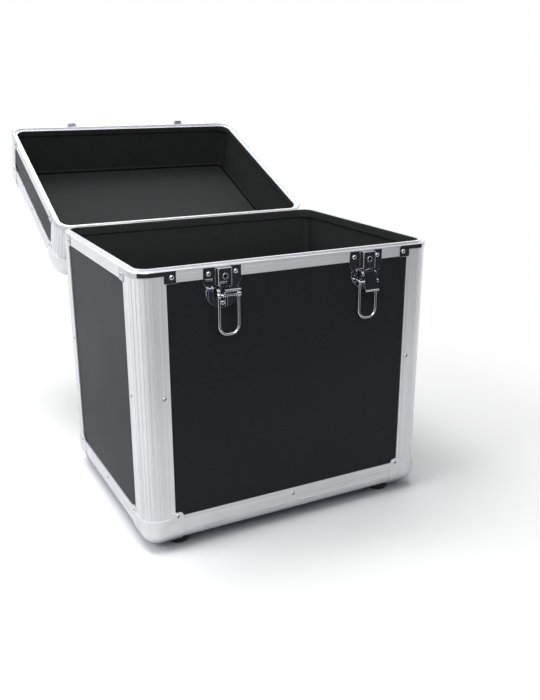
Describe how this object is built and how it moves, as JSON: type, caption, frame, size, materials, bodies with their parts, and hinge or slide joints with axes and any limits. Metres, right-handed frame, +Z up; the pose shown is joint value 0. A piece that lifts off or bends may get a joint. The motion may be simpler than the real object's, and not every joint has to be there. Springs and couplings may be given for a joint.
{
  "type": "record carrying case",
  "caption": "Deep upright carrying case with aluminium edging, ball corners, an opening lid, toggle latches with wire bails and rubber feet.",
  "frame": {"origin": "on the floor, under the middle of the case's overall outline with the lid open", "axes": "+X to the right seen from the latch side, +Y towards the hinges and the open lid, +Z up"},
  "size_m": [0.3794, 0.6356, 0.4471],
  "materials": {
    "laminated_panel": "fine-textured black laminate",
    "lining": "matt black foam sheet",
    "aluminium": "satin, drawn lengthwise",
    "plated_steel": "bright nickel plate",
    "rivet_steel": "bright zinc",
    "hinge_steel": "zinc plated",
    "rubber": "matt moulded",
    "grip": "matt moulded"
  },
  "bodies": {
    "body": {"body_ball_corners": "plated_steel", "body_lining": "lining", "body_rim": "aluminium", "body_rim_clips": "plated_steel", "body_rivets": "rivet_steel", "bottom_edge_front": "aluminium", "bottom_edge_left": "aluminium", "bottom_edge_rear": "aluminium", "bottom_edge_right": "aluminium", "bottom_panel": "laminated_panel", "corner_front_left": "aluminium", "corner_front_right": "aluminium", "corner_rear_left": "aluminium", "corner_rear_right": "aluminium", "foot_screws": "hinge_steel", "front_panel": "laminated_panel", "hinge_left_body_leaf": "hinge_steel", "hinge_left_pin": "hinge_steel", "hinge_right_body_leaf": "hinge_steel", "hinge_right_pin": "hinge_steel", "latch_left_bracket": "plated_steel", "latch_left_lock": "plated_steel", "latch_left_pivot": "plated_steel", "latch_left_plate": "plated_steel", "latch_right_bracket": "plated_steel", "latch_right_lock": "plated_steel", "latch_right_pivot": "plated_steel", "latch_right_plate": "plated_steel", "left_panel": "laminated_panel", "rear_panel": "laminated_panel", "right_panel": "laminated_panel", "rubber_feet": "rubber"},
    "lid": {"handle_brackets": "hinge_steel", "hinge_left_lid_leaf": "hinge_steel", "hinge_right_lid_leaf": "hinge_steel", "lid_ball_corners": "plated_steel", "lid_corners": "aluminium", "lid_edge_front": "aluminium", "lid_edge_left": "aluminium", "lid_edge_rear": "aluminium", "lid_edge_right": "aluminium", "lid_front_panel": "laminated_panel", "lid_left_panel": "laminated_panel", "lid_lining": "lining", "lid_rear_panel": "laminated_panel", "lid_right_panel": "laminated_panel", "lid_rim": "aluminium", "lid_rim_clips": "plated_steel", "lid_rivets": "rivet_steel", "lid_top_panel": "laminated_panel", "strike_left": "plated_steel", "strike_right": "plated_steel"},
    "handle": {"handle_grip": "grip", "handle_rod": "hinge_steel"},
    "left_lever": {"latch_left_lever": "plated_steel"},
    "left_bail_pin": {"latch_left_bail_pin": "plated_steel"},
    "left_bail": {"latch_left_bail": "plated_steel"},
    "right_lever": {"latch_right_lever": "plated_steel"},
    "right_bail_pin": {"latch_right_bail_pin": "plated_steel"},
    "right_bail": {"latch_right_bail": "plated_steel"}
  },
  "joints": [
    {"name": "lid_hinge", "type": "hinge", "parent": "body", "child": "lid", "pos_m": [0, 0.014, 0.326], "axis": [1, 0, 0], "range_deg": [0, 157]},
    {"name": "handle_pivot", "type": "hinge", "parent": "lid", "child": "handle", "pos_m": [0, 0.19428, 0.29671], "axis": [1, 0, 0], "range_deg": [-62, 108]},
    {"name": "left_lever_pivot", "type": "hinge", "parent": "body", "child": "left_lever", "pos_m": [-0.0895, -0.294, 0.3005], "axis": [1, 0, 0], "range_deg": [-30, 97]},
    {"name": "left_bail_pin_turn", "type": "hinge", "parent": "left_lever", "child": "left_bail_pin", "pos_m": [-0.0895, -0.30383, 0.29868], "axis": [1, 0, 0], "range_deg": [-97, 30]},
    {"name": "left_bail_swing", "type": "hinge", "parent": "left_bail_pin", "child": "left_bail", "pos_m": [-0.0895, -0.30383, 0.29868], "axis": [-1, 0, 0], "range_deg": [-4, 180]},
    {"name": "right_lever_pivot", "type": "hinge", "parent": "body", "child": "right_lever", "pos_m": [0.0932, -0.294, 0.3005], "axis": [1, 0, 0], "range_deg": [-110, 17]},
    {"name": "right_bail_pin_turn", "type": "hinge", "parent": "right_lever", "child": "right_bail_pin", "pos_m": [0.0932, -0.29391, 0.2905], "axis": [1, 0, 0], "range_deg": [-17, 110]},
    {"name": "right_bail_swing", "type": "hinge", "parent": "right_bail_pin", "child": "right_bail", "pos_m": [0.0932, -0.29391, 0.2905], "axis": [-1, 0, 0], "range_deg": [-4, 180]}
  ],
  "couplings": [
    {"joint": "left_bail_pin_turn", "follows": "left_lever_pivot", "ratio": -1},
    {"joint": "right_bail_pin_turn", "follows": "right_lever_pivot", "ratio": -1}
  ]
}
